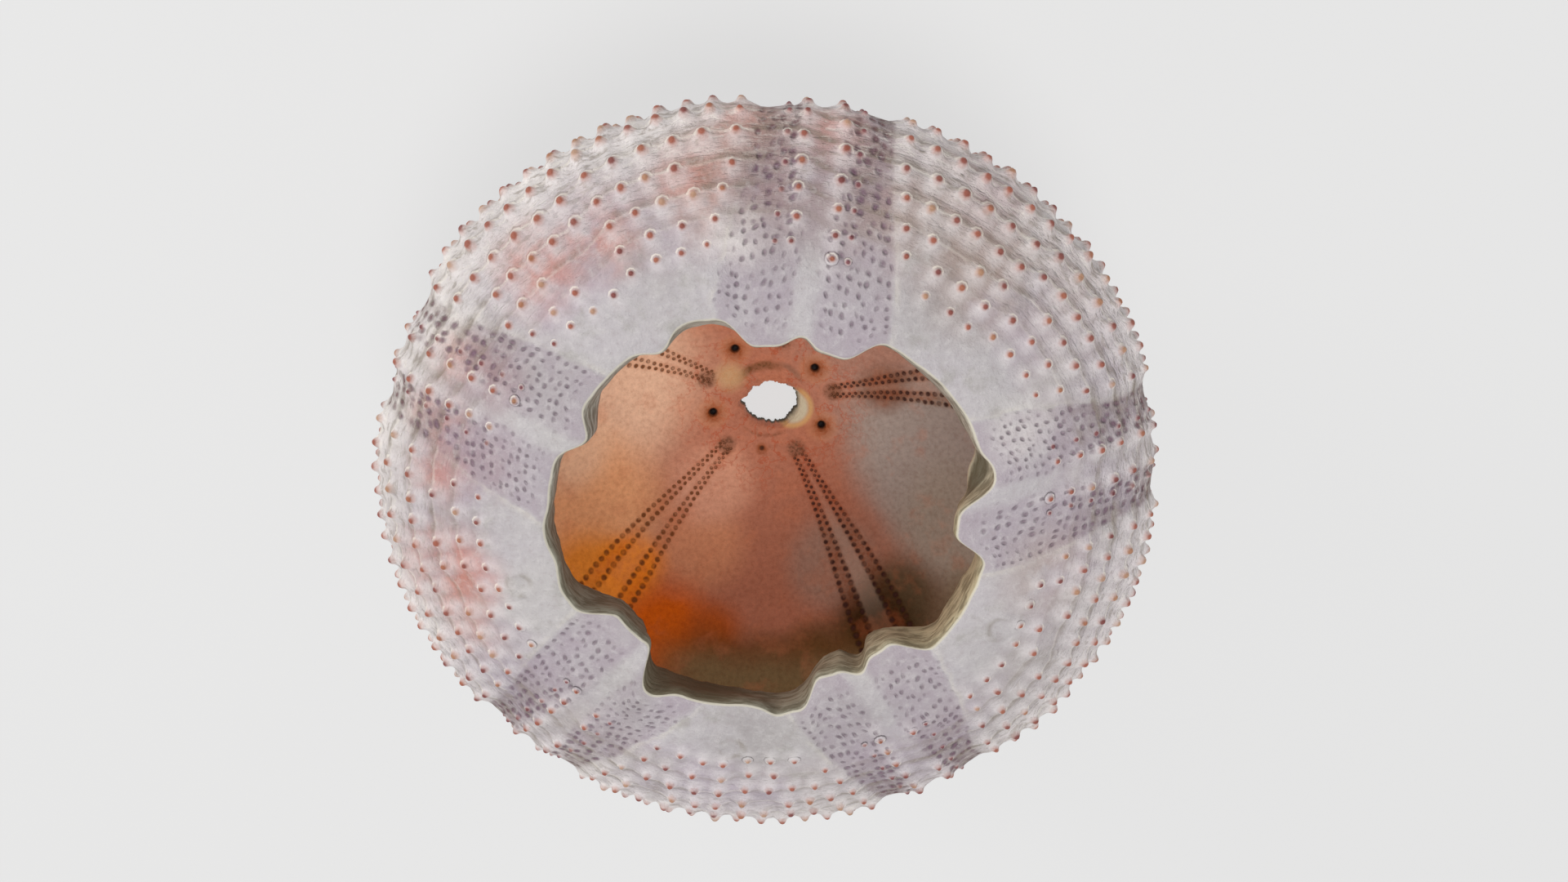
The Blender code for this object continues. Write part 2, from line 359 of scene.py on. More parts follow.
def stagger(place):
    """Share of a plate by which a place is moved, so that neighbouring columns alternate."""
    place = np.asarray(place)
    from_seam = np.minimum(np.abs(place), 0.5 - np.abs(place)) / STAGGER_WIDTH
    return PLATE_STAGGER * np.sign(place) * np.minimum(from_seam, 1.0)


def azimuth_of(sector, place):
    return FIRST_AMBULACRUM + (sector + place) * 360.0 / SECTORS


def place_of(azimuth):
    return ((azimuth - FIRST_AMBULACRUM) * SECTORS / 360.0 + 0.5) % 1.0 - 0.5


def row_size(row):
    """Size of the tubercles in a plate row; they are small by the mouth and by the crown."""
    share = (row + 0.5) / PLATE_ROWS
    from_mouth = min(1.0, share / LOW_ROWS_AT_MOUTH)
    from_crown = min(1.0, (1.0 - share) / LOW_ROWS_AT_CROWN)
    by_mouth = TUBERCLE_NEAR_MOUTH + (1.0 - TUBERCLE_NEAR_MOUTH) * from_mouth
    by_crown = TUBERCLE_NEAR_CROWN + (1.0 - TUBERCLE_NEAR_CROWN) * from_crown
    return min(by_mouth, by_crown)


def tubercle_list():
    """Every tubercle: azimuth, travel, size, and whether it is one of the small dark ones."""
    chance = random.Random(SEED)
    found = []
    for row in range(FIRST_TUBERCLE_ROW, PLATE_ROWS):
        middle = float(ROW_MIDDLES[row])
        girth = float(sector_girth(middle))
        strip = float(half_strip(middle))
        half = girth / 2.0 - float(pored_strip(middle))
        fit = min(max(round(half / COLUMN_PITCH), 1), COLUMNS_IN_HALF)
        size = row_size(row)
        spots = [
            (strip * PRIMARY_PLACE, PRIMARY_SIZE * size, False),
            (strip * SECONDARY_PLACE, SECONDARY_SIZE * size, True),
        ]
        for column in range(fit):
            share = (column + 0.5) / fit
            by_border = 1.0 - (1.0 - SIZE_AT_BORDER) * max(0.0, share - 0.7) / 0.3
            spots.append((girth / 2.0 - half * share, size * by_border, False))
        for sector in range(SECTORS):
            for side in (-1.0, 1.0):
                for across, spot_size, dark in spots:
                    place = side * across / girth
                    shift = float(stagger(place)) * float(ROW_HEIGHTS[row])
                    travel = middle + shift + chance.gauss(0.0, SCATTER_DOWN)
                    aside = chance.gauss(0.0, SCATTER_ACROSS) * 360.0 / (SECTORS * girth)
                    azimuth = (azimuth_of(sector, place) + aside) % 360.0
                    worn = row < WORN_ROWS and not dark and chance.random() < WORN_SHARE
                    scale = spot_size * chance.uniform(*SIZE_RANGE)
                    if not worn and travel < TRAVEL_END - 0.5:
                        found.append((azimuth, travel, scale, dark))
    return found


TUBERCLES = tubercle_list()


def vent_radius(azimuth, seed):
    """The vent is a slightly long oval off the axis, with a ragged edge and one pointed corner."""
    angle = np.radians(azimuth)
    oval = 1.0 / np.hypot(np.cos(angle) * 2.0 / VENT_LENGTH, np.sin(angle) * 2.0 / VENT_WIDTH)
    oval += VENT_SHIFT[0] * np.cos(angle) + VENT_SHIFT[1] * np.sin(angle)
    large, small = VENT_WANDER
    ragged = oval + large * wander(azimuth, 2.0, seed) + small * wander(azimuth, 6.0, seed)
    return ragged + hump(azimuth, *VENT_CORNER)


def crown_relief(radius, azimuth):
    """Pits and wrinkles of the lining round the vent."""
    relief = np.zeros(np.broadcast(radius, azimuth).shape)
    angle = np.radians(azimuth)
    x, y = radius * np.cos(angle), radius * np.sin(angle)
    pits = [(*spot, *GONOPORE_PIT) for spot in GONOPORES] + [(*FIFTH_GONOPORE, *FIFTH_PIT)]
    for at, distance, depth, size in pits:
        turn = math.radians(at)
        away = np.hypot(x - distance * math.cos(turn), y - distance * math.sin(turn)) / size
        relief -= depth * np.exp(-(away**4))
        relief += 0.1 * np.exp(-(((away - 2.2) / 0.7) ** 2))
    relief -= 0.3 * np.exp(-(((radius - 3.8) / 0.35) ** 2)) * hump(azimuth, *VENT_GROOVE)
    relief += 0.1 * np.exp(-(((radius - 3.7) / 0.35) ** 2))
    return relief


def ring_table():
    """The rings of the wall: radius, height, travel, zone, and how far the mouth's lobes reach."""
    rings = []
    for travel in np.arange(0.0, TRAVEL_END, OUTSIDE_STEP):
        radius, height = outside_at(travel)
        share = LOBE_SHARE_AT_CREST * max(0.0, 1.0 - travel / LOBE_FADE)
        rings.append((float(radius), float(height), travel, "outside", share))
    for radius in FLAT_RINGS:
        rings.append((radius, 0.0, TRAVEL_END + FLAT_RADIUS - radius, "flat", 0.0))
    for height in VENT_RINGS:
        rings.append((0.0, height, TRAVEL_END + 2.0 + height, "vent", 0.0))

    depth = CROWN_DEPTH - CROWN_WALL
    start = turn_at(LINING_START_RADIUS, RADIUS - WALL, CROWN_FULLNESS)
    low = half_oval(np.linspace(start, 0.0, 300, endpoint=False), RADIUS - WALL, depth, CROWN_FULLNESS)
    turns = np.linspace(0.0, LINING_TOP_TURN, 100)
    high = half_oval(turns, RADIUS - WALL, MOUTH_RISE - WALL, MOUTH_FULLNESS)
    radius = np.concatenate((low[0], high[0]))
    height = np.concatenate((WAIST - low[1], WAIST + high[1]))
    length = arc_length(radius, height)
    fine = np.arange(0.0, FINE_INSIDE_END, FINE_INSIDE_STEP)
    coarse = np.linspace(FINE_INSIDE_END, length[-1], round((length[-1] - FINE_INSIDE_END) / INSIDE_STEP))
    for at in np.concatenate((fine, coarse)):
        here = float(np.interp(at, length, radius)), float(np.interp(at, length, height))
        rings.append((*here, at, "inside", 0.0))
    for radius, height, share in UNDER_LIP:
        at += math.hypot(radius - rings[-1][0], WAIST + height - rings[-1][1])
        rings.append((radius, WAIST + height, at, "inside", share))
    for radius, height in LIP_PROFILE:
        rings.append((radius, WAIST + height, height - LIP_FOOT, "lip", 1.0))
    for radius, height in RIM_PROFILE:
        rings.append((radius, WAIST + height, radius - LIP_CREST_RADIUS, "rim", 1.0))
    return rings


RINGS = ring_table()


def spin_round(bm, profile, steps):
    """Spins these points and edges once round the Z axis."""
    bmesh.ops.spin(
        bm, geom=profile, cent=(0.0, 0.0, 0.0), axis=(0.0, 0.0, 1.0), dvec=(0.0, 0.0, 0.0),
        angle=2.0 * math.pi, steps=steps, use_merge=True,
    )


def mesh_from(bm, name):
    """The mesh of this bmesh, which ends here."""
    mesh = bpy.data.meshes.new(name)
    bm.to_mesh(mesh)
    bm.free()
    return mesh


def wall_body():
    """The closed wall, spun from its profile; the layer says which ring a point is on."""
    bm = bmesh.new()
    layer = bm.verts.layers.float.new("ring")
    profile = []
    for number, (radius, height, *_rest) in enumerate(RINGS):
        vert = bm.verts.new((radius if radius else VENT_WIDTH / 2.0, 0.0, height))
        vert[layer] = number
        profile.append(vert)
    edges = [bm.edges.new(pair) for pair in zip(profile, profile[1:] + profile[:1])]
    spin_round(bm, profile + edges, SPIN_STEPS)
    hoops = [edge for edge in bm.edges if edge.verts[0][layer] == edge.verts[1][layer]]
    bmesh.ops.subdivide_edges(bm, edges=hoops, cuts=WALL_COLUMNS // SPIN_STEPS - 1)
    bmesh.ops.recalc_face_normals(bm, faces=bm.faces)
    zones = [ring[3] for ring in RINGS]
    for face in bm.faces:
        near = {zones[round(vert[layer])] for vert in face.verts}
        face.smooth = True
        face.material_index = 2 if "lip" in near else 1 if near & {"inside", "vent"} else 0
    return mesh_from(bm, "shell_wall")


def grid_of(mesh):
    """Which point is on each ring and column."""
    count = len(mesh.vertices)
    points = np.empty(count * 3)
    mesh.vertices.foreach_get("co", points)
    points = points.reshape(-1, 3)
    ring = np.empty(count)
    mesh.attributes["ring"].data.foreach_get("value", ring)
    turn = np.arctan2(points[:, 1], points[:, 0]) / (2.0 * math.pi)
    column = np.round(turn * WALL_COLUMNS).astype(int) % WALL_COLUMNS
    grid = np.full((len(RINGS), WALL_COLUMNS), -1)
    grid[np.round(ring).astype(int), column] = np.arange(count)
    assert grid.min() >= 0
    return grid


COLUMN_AZIMUTHS = np.arange(WALL_COLUMNS) * 360.0 / WALL_COLUMNS


def grain(radius, height, azimuth, scale, seed):
    """Soft noise over a grid of points on the shell."""
    angle = np.radians(azimuth)
    x, y = radius * np.cos(angle) * scale, radius * np.sin(angle) * scale
    z = height * scale + seed
    spots = zip(x.ravel(), y.ravel(), z.ravel())
    return np.array([noise.noise(Vector(spot)) for spot in spots]).reshape(x.shape)


def mound_width(size):
    return MOUND_WIDTH * (0.35 + 0.65 * size)


def mound_at(away, size):
    """Height of a mound at this share of its width from its middle."""
    return np.minimum(size, 1.0) * np.exp(-(away**MOUND_POWER))


def white_at(across, along, size):
    """White of a boss, partly its paler colour and partly painted light, which reaches further on its lit
    mouth side.
    """
    away = np.hypot(across, along + WHITE_SHIFT * size) / (WHITE_WIDTH * (0.35 + 0.65 * size))
    return np.minimum(size, 1.0) * np.exp(-(away**2))


def outside_relief(travel):
    """Height of the plates' relief over the outer curve, and how white the bosses make each point, partly
    painted light.
    """
    azimuth = COLUMN_AZIMUTHS[None, :] + np.zeros((len(travel), 1))
    along = travel[:, None] + np.zeros_like(azimuth)
    place = place_of(azimuth)
    radius, height = outside_at(along)
    strip, girth = pored_strip(along), sector_girth(along)
    from_border = np.abs(place) * girth - strip

    mound = np.zeros_like(azimuth)
    white = np.zeros_like(azimuth)
    for at, down, size, _dark in TUBERCLES:
        width = mound_width(size)
        rows = np.nonzero(np.abs(travel - down) < 2.2 * width)[0]
        reach = math.degrees(2.2 * width / float(outside_at(down)[0]))
        first = math.ceil((at - reach) * WALL_COLUMNS / 360.0)
        last = math.floor((at + reach) * WALL_COLUMNS / 360.0)
        columns = np.arange(first, last + 1)
        across = np.radians(columns * 360.0 / WALL_COLUMNS - at)[None, :] * radius[rows, :1]
        past = (travel[rows] - down)[:, None]
        here = np.ix_(rows, columns % WALL_COLUMNS)
        mound[here] = np.maximum(mound[here], mound_at(np.hypot(across, past) / width, size))
        white[here] = np.maximum(white[here], white_at(across, past, size))

    phase = (staggered_row(along, place) + 0.3 * grain(radius, height, azimuth, scale=0.35, seed=7.0)) % 1.0
    ridge = soft_step(phase, 0.1, 0.5) * (1.0 - soft_step(phase, 0.58, 0.9))
    ridge = ridge * (0.7 + 0.6 * grain(radius, height, azimuth, scale=0.22, seed=8.0))
    on_plates = soft_step(from_border, -0.1, 0.9) * soft_step(along, 3.0, 8.0)
    relief = MOUND_HEIGHT * mound + TERRACE_HEIGHT * ridge * on_plates
    relief += BORDER_STEP * soft_step(from_border, -0.5, 0.4) * soft_step(along, 0.5, 2.5)
    relief += SWELL_HEIGHT * grain(radius, height, azimuth, scale=0.16, seed=5.0)
    relief += GRAIN_HEIGHT * grain(radius, height, azimuth, scale=0.9, seed=9.0)
    for centre, down, size in RING_SCARS:
        across = np.radians(degrees_from(azimuth, centre)) * radius
        away = np.hypot(across, along - down) / size
        rim = np.exp(-(((away - 1.0) / 0.22) ** 2))
        relief += SCAR_RIM * rim - SCAR_HOLLOW * np.exp(-((away / 0.7) ** 2))
    relief -= PLATES_SUNK * soft_step(along, 1.0, 5.0)
    return relief * soft_step(along, 0.0, 1.2), white


def rounded(values, columns):
    """Values round the shell with their corners taken off."""
    return sum(np.roll(values, step) for step in range(-columns, columns + 1)) / (2 * columns + 1)


def shape_wall(mesh, relief, white):
    """Gives the spun wall its lobes, plates, scars and ragged vent, and notes what the paint needs."""
    grid = grid_of(mesh)
    azimuth = COLUMN_AZIMUTHS
    radius, height, travel, zones, share = (np.array(part) for part in zip(*RINGS))
    share = share[:, None]
    radius = np.repeat(radius[:, None], WALL_COLUMNS, axis=1)
    height = np.repeat(height[:, None], WALL_COLUMNS, axis=1)
    outer, lip, inner = zones == "outside", zones == "lip", zones == "inside"

    out, up = outward_at(travel[outer])
    radius[outer] += relief * out[:, None]
    height[outer] += relief * up[:, None]

    edge = lip_offset(azimuth, CREST_SHOULDER, 1.0) + 0.16 * wander(azimuth, waves=3.0, seed=1.0)
    edge += 0.05 * wander(azimuth, waves=9.0, seed=6.0) + CREST_SHIFT * np.sin(np.radians(azimuth))
    edge = rounded(edge, 2) - CREST_INWARD
    foot = lip_offset(azimuth, FOOT_SHOULDER, 0.3) - hump(azimuth, *FLAP)
    bays = 0.25 * wander(azimuth, waves=2.5, seed=2.0)
    for bay in FOOT_BAYS:
        bays = bays + hump(azimuth, *bay)
    foot += bays
    rise = np.where(lip, travel / LIP_RISE, 0.0)[:, None]
    above = outer | (zones == "rim")
    top_share = np.where(lip[:, None], soft_step(rise, 0.15, 0.95), above[:, None] * 1.0)
    radius += share * (top_share * edge + (1.0 - top_share) * foot)
    hollow = hump(azimuth, *FLAP[:2], FLAP_HOLLOW) * np.sin(math.pi * np.clip(rise, 0.0, 1.0))
    radius += hollow * lip[:, None]
    height[lip] += 0.25 * wander(azimuth, waves=7.0, seed=4.0) * (1.0 - rise[lip])

    ragged, wider = (vent_radius(azimuth, seed) for seed in VENT_SEEDS)
    for ring in np.nonzero(zones == "vent")[0]:
        up_vent = height[ring, 0] / VENT_TOP
        shelf = hump(azimuth, *VENT_SHELF) * soft_step(up_vent, 0.3, 0.9)
        hole = ragged + (wider - ragged) * up_vent + 0.35 * up_vent**2 + shelf
        radius[ring] = np.minimum(hole, VENT_LIMIT)
    lift = 0.12 * grain(radius[inner], height[inner], azimuth[None, :], scale=0.25, seed=2.0)
    lift += 0.04 * grain(radius[inner], height[inner], azimuth[None, :], scale=0.9, seed=4.0)
    lift += crown_relief(radius[inner], azimuth[None, :])
    height[inner] += lift * soft_step(radius[inner], 3.0, 4.0)
    height[zones == "flat"] = 0.0
    height = np.maximum(height, 0.0)
    off_floor = outer & (travel < TRAVEL_END - 0.3)
    height[off_floor] = np.maximum(height[off_floor], FLAT_CLEARANCE)

    lay_points(mesh, grid, radius, height, azimuth[None, :])
    bosses = np.zeros_like(radius)
    bosses[outer] = white
    down = travel[:, None]
    keep_notes(mesh, grid, {
        "white": bosses,
        "rise": np.where(zones == "rim", RIM_RISE, np.where(lip, travel, 0.0))[:, None],
        "pore_row": np.interp(down, PORE_TRAVEL, PORE_ROWS),
        "travel": down,
        "inward": down * inner[:, None],
        "plate": staggered_row(down, place_of(azimuth)[None, :]),
        "strip": pored_strip(down),
    })
    mesh.update()


def lay_points(mesh, grid, radius, height, azimuth):
    """Puts the points of a mesh in their places, in mm, none of them outside the CAD's box."""
    angle = np.radians(azimuth)
    points = np.empty((len(mesh.vertices), 3))
    points[grid] = np.stack((radius * np.cos(angle), radius * np.sin(angle), height), axis=2) * MM
    mesh.vertices.foreach_set("co", np.clip(points, *CAD_BOX).ravel())


def keep_notes(mesh, grid, notes):
    """Keeps values on the points of a mesh for the paint."""
    for name, values in notes.items():
        flat = np.empty(len(mesh.vertices))
        flat[grid] = values
        mesh.attributes.new(name, "FLOAT", "POINT").data.foreach_set("value", flat)


def relief_at(azimuth, travel, relief):
    """The relief of the wall at these places, between the four points round each."""
    row = np.clip(travel / OUTSIDE_STEP, 0.0, len(relief) - 1.001)
    column = azimuth % 360.0 * WALL_COLUMNS / 360.0
    low, left = row.astype(int), column.astype(int) % WALL_COLUMNS
    down, across = row - low, column - np.floor(column)
    right = (left + 1) % WALL_COLUMNS
    upper = relief[low, left] * (1.0 - across) + relief[low, right] * across
    lower = relief[low + 1, left] * (1.0 - across) + relief[low + 1, right] * across
    return upper * (1.0 - down) + lower * down


def tubercle_pattern():
    """One tubercle: a low boss with a small knob at its tip."""
    bm = bmesh.new()
    profile = [bm.verts.new((radius * MM, 0.0, height * MM)) for radius, height in TUBERCLE_PROFILE]
    profile.append(bm.verts.new((0.0, 0.0, TUBERCLE_TIP * MM)))
    edges = [bm.edges.new(pair) for pair in zip(profile, profile[1:])]
    spin_round(bm, profile + edges, TUBERCLE_SEGMENTS)
    bmesh.ops.remove_doubles(bm, verts=bm.verts, dist=1e-6)
    rim = [edge for edge in bm.edges if edge.is_boundary]
    bmesh.ops.contextual_create(bm, geom=rim)
    bmesh.ops.recalc_face_normals(bm, faces=bm.faces)
    return mesh_from(bm, "tubercle_pattern")


def tubercle_field(relief):
    """All tubercles in one mesh, copied from the pattern and then laid on the wall."""
    pattern = tubercle_pattern()
    bm = bmesh.new()
    for _tubercle in TUBERCLES:
        bm.from_mesh(pattern)
    mesh = mesh_from(bm, "tubercles")
    bpy.data.meshes.remove(pattern)

    grid = np.arange(len(mesh.vertices)).reshape(len(TUBERCLES), -1)
    points = np.empty(len(mesh.vertices) * 3)
    mesh.vertices.foreach_get("co", points)
    points = points.reshape(len(TUBERCLES), -1, 3) / MM
    azimuth, down, size, dark = (np.array(part, float)[:, None] for part in zip(*TUBERCLES))
    across, past, stand = (points[:, :, axis] * size for axis in range(3))
    travel = down + past
    radius, height = outside_at(travel)
    turn = azimuth - np.degrees(across / radius)
    out, up = outward_at(travel)
    stand = stand + relief_at(turn, travel, relief)
    lay_points(mesh, grid, radius + stand * out, np.maximum(height + stand * up, FLAT_CLEARANCE), turn)

    chance = random.Random(SEED + 1)
    keep_notes(mesh, grid, {
        "travel": travel,
        "plate": staggered_row(travel, place_of(azimuth)),
        "pore_row": np.interp(travel, PORE_TRAVEL, PORE_ROWS),
        "strip": pored_strip(travel),
        "away": np.hypot(across, past) / mound_width(size),
        "white": white_at(across, past, size),
        "size": np.minimum(size, 1.0),
        "tint": np.array([chance.random() for _tubercle in TUBERCLES])[:, None],
        "dark": dark,
    })
    mesh.shade_smooth()
    mesh.update()
    return mesh


class Value:
    """A value in a material; arithmetic on it adds Math nodes."""

    def __init__(self, paint, socket):
        self.paint = paint
        self.socket = socket

    def __add__(self, other):
        return self.paint.maths("ADD", self, other)

    def __sub__(self, other):
        return self.paint.maths("SUBTRACT", self, other)

    def __rsub__(self, other):
        return self.paint.maths("SUBTRACT", other, self)

    def __mul__(self, other):
        return self.paint.maths("MULTIPLY", self, other)

    def __truediv__(self, other):
        return self.paint.maths("DIVIDE", self, other)

    def __rtruediv__(self, other):
        return self.paint.maths("DIVIDE", other, self)

    def __mod__(self, other):
        return self.paint.maths("FLOORED_MODULO", self, other)

    def __abs__(self):
        return self.paint.maths("ABSOLUTE", self)

    __radd__ = __add__
    __rmul__ = __mul__


class Paint:
    """One material, with the nodes that make its relief and the colour laid so far."""

    def __init__(self, name, roughness, gloss=0.35):
        self.colour = None
        self.material = bpy.data.materials.new(name)
        self.material.use_nodes = True
        self.tree = self.material.node_tree
        self.shader = self.tree.nodes["Principled BSDF"]
        self.shader.inputs["Roughness"].default_value = roughness
        self.shader.inputs["Specular IOR Level"].default_value = gloss
        place = {0: self.node("ShaderNodeTexCoord", output="Object"), "Scale": 1.0 / MM}
        self.spot = self.node("ShaderNodeVectorMath", {"operation": "SCALE"}, place)
        self.x, self.y, self.z = (
            self.node("ShaderNodeSeparateXYZ", inputs={0: self.spot}, output=axis) for axis in range(3)
        )
        self.plan = self.node("ShaderNodeCombineXYZ", inputs={0: self.x, 1: self.y})

    def node(self, kind, settings=None, inputs=None, output=0):
        made = self.tree.nodes.new(kind)
        for key, value in (settings or {}).items():
            setattr(made, key, value)
        for key, value in (inputs or {}).items():
            self.feed(made.inputs[key], value)
        return Value(self, made.outputs[output])

    def feed(self, socket, value):
        if isinstance(value, Value):
            self.tree.links.new(value.socket, socket)
        else:
            socket.default_value = value

    def maths(self, operation, *values):
        return self.node("ShaderNodeMath", {"operation": operation}, dict(enumerate(values)))

    def note(self, name):
        return self.node("ShaderNodeAttribute", {"attribute_name": name}, output="Fac")

    def soft_step(self, value, low, high):
        settings = {"interpolation_type": "SMOOTHSTEP"}
        return self.node("ShaderNodeMapRange", settings, {"Value": value, "From Min": low, "From Max": high})

    def fade(self, value, low, high):
        """1 up to the low value and 0 from the high one on."""
        return 1.0 - self.soft_step(value, low, high)

    def noise(self, scale, detail=2.0, roughness=0.5, spot=None):
        inputs = {"Vector": spot or self.spot, "Scale": scale, "Detail": detail, "Roughness": roughness}
        return self.node("ShaderNodeTexNoise", inputs=inputs)

    def mix(self, share, first, second, blend="MIX"):
        settings = {"data_type": "RGBA", "blend_type": blend}
        return self.node("ShaderNodeMix", settings, {0: share, 6: first, 7: second}, output=2)

    def lay(self, share, tone, blend="MIX"):
        """Lays a tone over the colour so far."""
        self.colour = self.mix(share, self.colour, tone, blend)

    def near(self, centre, inner, outer, spot=None):
        """1 near this place and 0 away from it."""
        ends = {0: spot or self.spot, 1: centre}
        away = self.node("ShaderNodeVectorMath", {"operation": "DISTANCE"}, ends, output="Value")
        return self.fade(away, inner, outer)

    def near_axis(self, azimuth, distance, inner, outer):
        """1 near this place round the crown, however deep."""
        angle = math.radians(azimuth)
        centre = (distance * math.cos(angle), distance * math.sin(angle), 0.0)
        return self.near(centre, inner, outer, self.plan)

    def finish(self, height, bump_depth, glow=0.0):
        self.feed(self.shader.inputs["Base Color"], self.colour)
        self.feed(self.shader.inputs["Emission Color"], self.colour)
        self.shader.inputs["Emission Strength"].default_value = glow
        inputs = {"Strength": 1.0, "Distance": bump_depth * MM, "Height": height}
        self.feed(self.shader.inputs["Normal"], self.node("ShaderNodeBump", inputs=inputs))
        return self.material


def sector_measures(paint):
    """Radius, and the signed distance from the nearest ambulacrum's midline in mm."""
    radius = paint.maths("SQRT", paint.x * paint.x + paint.y * paint.y)
    azimuth = paint.maths("ARCTAN2", paint.y, paint.x)
    place = (azimuth * (SECTORS / (2.0 * math.pi)) + (0.5 - FIRST_AMBULACRUM * SECTORS / 360.0)) % 1.0 - 0.5
    return radius, place * radius * (2.0 * math.pi / SECTORS)


def dot_rows(paint, across, row, pitch, columns, size):
    """Rows of small round dots at these distances either side of the midline; 1 inside a dot."""
    side = paint.maths("SIGN", across)
    dots = 0.0
    for distance, phase in columns:
        sideways = (abs(across) - distance) / size
        upright = ((row - side * PLATE_STAGGER + phase) % 1.0 - 0.5) * pitch / size
        away = paint.maths("SQRT", sideways * sideways + upright * upright)
        dots = paint.maths("MAXIMUM", dots, paint.fade(away, 0.5, 1.25))
    return dots


def place_mm(azimuth, travel):
    """The point of the outer curve here, in mm."""
    radius, height = outside_at(travel)
    angle = math.radians(azimuth)
    return (float(radius) * math.cos(angle), float(radius) * math.sin(angle), float(height))


# Tones
LILAC = (0.49, 0.425, 0.485, 1.0)
LILAC_WHITE = (0.52, 0.475, 0.475, 1.0)
CREST_CREAM = (0.68, 0.64, 0.54, 1.0)
SALMON = (0.37, 0.14, 0.082, 1.0)
MAUVE = (0.30, 0.235, 0.195, 1.0)
OLIVE = (0.34, 0.33, 0.26, 1.0)
BEIGE = (0.56, 0.49, 0.32, 1.0)
PINK = (0.62, 0.245, 0.19, 1.0)
PALE = (0.95, 0.90, 0.86, 1.0)
WARM = (0.42, 0.29, 0.24, 1.0)
GREY = (0.36, 0.33, 0.33, 1.0)
DUSK = (0.33, 0.19, 0.21, 1.0)
# Washes on the plates: azimuth, travel, reach, strength, tone
WASHES = (
    (142.0, 13.0, 7.0, 1.0, PALE),
    (120.0, 16.0, 7.0, 0.9, PALE),
    (160.0, 13.0, 6.0, 0.8, PALE),
    (105.0, 16.0, 6.0, 0.6, PALE),
    (196.0, 12.0, 6.0, 0.5, PALE),
    (233.0, 12.0, 6.0, 0.5, PALE),
    (21.0, 2.5, 4.0, 0.5, PALE),
    (90.0, 10.0, 9.0, 0.75, WARM),
    (57.0, 11.0, 9.0, 0.8, WARM),
    (57.0, 8.5, 8.0, 0.5, WARM),
    (50.0, 6.5, 6.0, 0.8, WARM),
    (72.0, 8.0, 7.0, 0.5, WARM),
    (104.0, 7.0, 6.0, 0.4, WARM),
    (37.0, 11.0, 8.0, 0.45, WARM),
    (347.0, 4.0, 6.0, 0.5, WARM),
    (262.0, 0.5, 7.0, 0.7, GREY),
    (225.0, 3.0, 6.0, 0.4, GREY),
    (85.0, 6.0, 7.0, 0.5, GREY),
    (112.0, 4.5, 6.0, 0.5, GREY),
    (140.0, 3.0, 5.0, 0.4, GREY),
    (55.0, 4.0, 7.0, 0.5, GREY),
    (325.0, 6.0, 7.0, 0.3, GREY),
    (290.0, 3.0, 9.0, 0.3, GREY),
    (99.0, 9.0, 5.0, 0.8, PINK),
    (116.0, 8.0, 5.0, 0.9, PINK),
    (127.0, 8.5, 5.0, 0.95, PINK),
    (92.0, 13.5, 4.0, 0.7, PINK),
    (79.0, 13.0, 4.0, 0.7, PINK),
    (147.0, 6.5, 4.5, 0.85, DUSK),
    (163.0, 4.0, 4.5, 0.4, DUSK),
    (85.0, 9.0, 6.0, 0.6, DUSK),
    (228.0, 0.5, 3.5, 0.7, GREY),
    (288.0, 0.0, 4.0, 0.4, GREY),
    (183.0, 9.0, 4.0, 0.7, DUSK),
    (55.0, 12.5, 5.0, 0.8, DUSK),
    (94.0, 5.0, 3.5, 0.6, PALE),
    (144.0, 11.5, 3.5, 0.6, PALE),
    (72.0, 10.0, 5.0, 0.4, DUSK),
    (148.0, 9.0, 3.5, 0.6, PINK),
    (158.0, 9.0, 4.0, 0.8, PINK),
    (168.0, 8.0, 4.0, 0.7, PINK),
    (186.0, 8.0, 6.5, 1.0, PINK),
    (188.0, 7.5, 5.0, 0.6, PINK),
    (176.0, 4.0, 4.5, 0.5, GREY),
    (199.0, 8.0, 4.0, 0.5, PINK),
    (250.0, 22.0, 9.0, 0.5, PINK),
    (20.0, 34.0, 10.0, 0.5, PINK),
)
